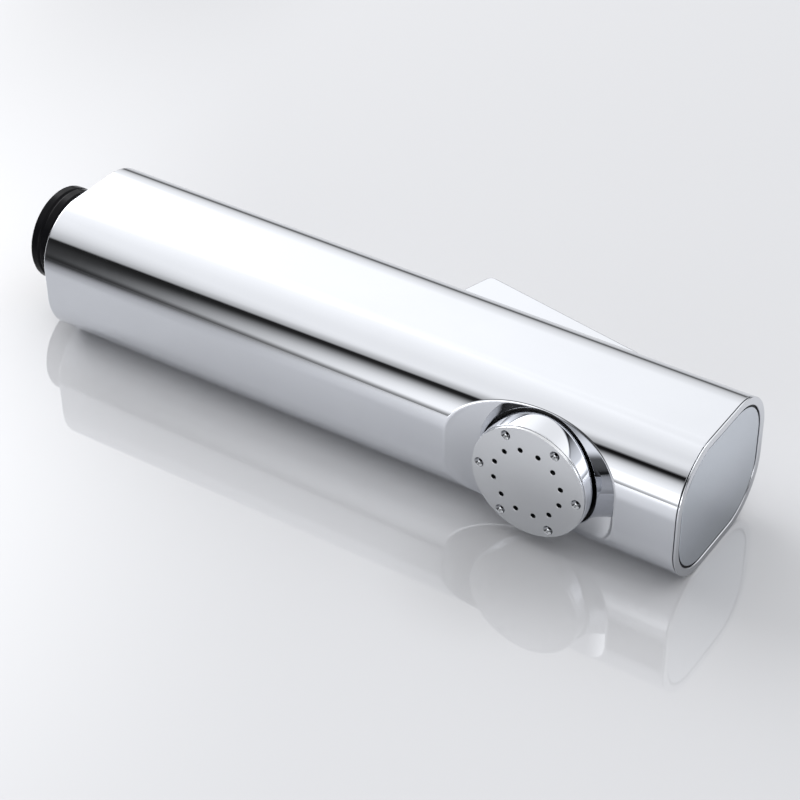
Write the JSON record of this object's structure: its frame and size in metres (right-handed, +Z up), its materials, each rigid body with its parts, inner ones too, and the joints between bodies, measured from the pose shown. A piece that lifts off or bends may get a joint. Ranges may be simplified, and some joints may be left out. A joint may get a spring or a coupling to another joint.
{
  "type": "handheld bath sprayer",
  "caption": "Chrome bar-shaped hand spray head with a round spray face in a scoop in one side, a squeeze lever opposite it and a threaded inlet at one end.",
  "frame": {"origin": "centre of the inlet's mouth, on the thread's axis", "axes": "+X runs along the handle to its closed end, -Y is the way the water leaves the spray face, +Y is the lever's side, +Z is up when the sprayer lies on its flank as in the picture"},
  "size_m": [0.189, 0.053, 0.036],
  "materials": {
    "chrome_plate": "mirror-bright plating",
    "satin_end": "satin",
    "satin_spray_face": "satin",
    "black_collar": "gloss",
    "brass": "machined",
    "black_rubber": "matte",
    "core_plastic": "moulded",
    "check_valve_plastic": "moulded",
    "stainless_steel": "bright drawn"
  },
  "bodies": {
    "root": {"body_shell": "chrome_plate", "end_bezel": "chrome_plate", "end_plate": "satin_end", "core_screws": "stainless_steel", "inlet_collar": "black_collar", "inlet_insert": "brass", "inlet_washer": "black_rubber", "filter_screen": "stainless_steel", "inlet_housing": "core_plastic", "check_valve_cage": "check_valve_plastic", "check_valve_spring": "stainless_steel", "water_tube": "core_plastic", "tube_o_rings": "black_rubber", "valve_body": "core_plastic", "valve_plug": "core_plastic", "valve_plug_o_ring": "black_rubber", "valve_seat": "stainless_steel", "stem_gland": "brass", "stem_o_ring": "black_rubber", "valve_spring": "stainless_steel", "lever_pin": "stainless_steel", "nozzle_cup": "chrome_plate", "spray_plate": "satin_spray_face", "diffuser_disc": "core_plastic", "nozzle_gasket": "black_rubber", "nozzle_seal_ring": "black_rubber"},
    "lever": {"lever": "chrome_plate"},
    "valve_stem": {"valve_stem": "stainless_steel", "valve_disc": "black_rubber"},
    "check_poppet": {"check_valve_poppet": "check_valve_plastic"}
  },
  "joints": [
    {"name": "lever_hinge", "type": "hinge", "parent": "root", "child": "lever", "pos_m": [0.164, 0.011, 0], "axis": [0, 0, 1], "range_deg": [0, 7], "stiffness_Nm_per_rad": 1, "springref_deg": -16.04},
    {"name": "stem_slide", "type": "slide", "parent": "root", "child": "valve_stem", "axis": [0, -1, 0], "range_m": [0, 0.0043], "deforming": ["valve_spring"]},
    {"name": "check_valve_slide", "type": "slide", "parent": "root", "child": "check_poppet", "axis": [1, 0, 0], "range_m": [0, 0.0025], "stiffness_N_per_m": 40, "springref_m": -0.003, "deforming": ["check_valve_spring"]}
  ],
  "couplings": [
    {"joint": "stem_slide", "follows": "lever_hinge", "m_per_rad": 0.0345}
  ]
}
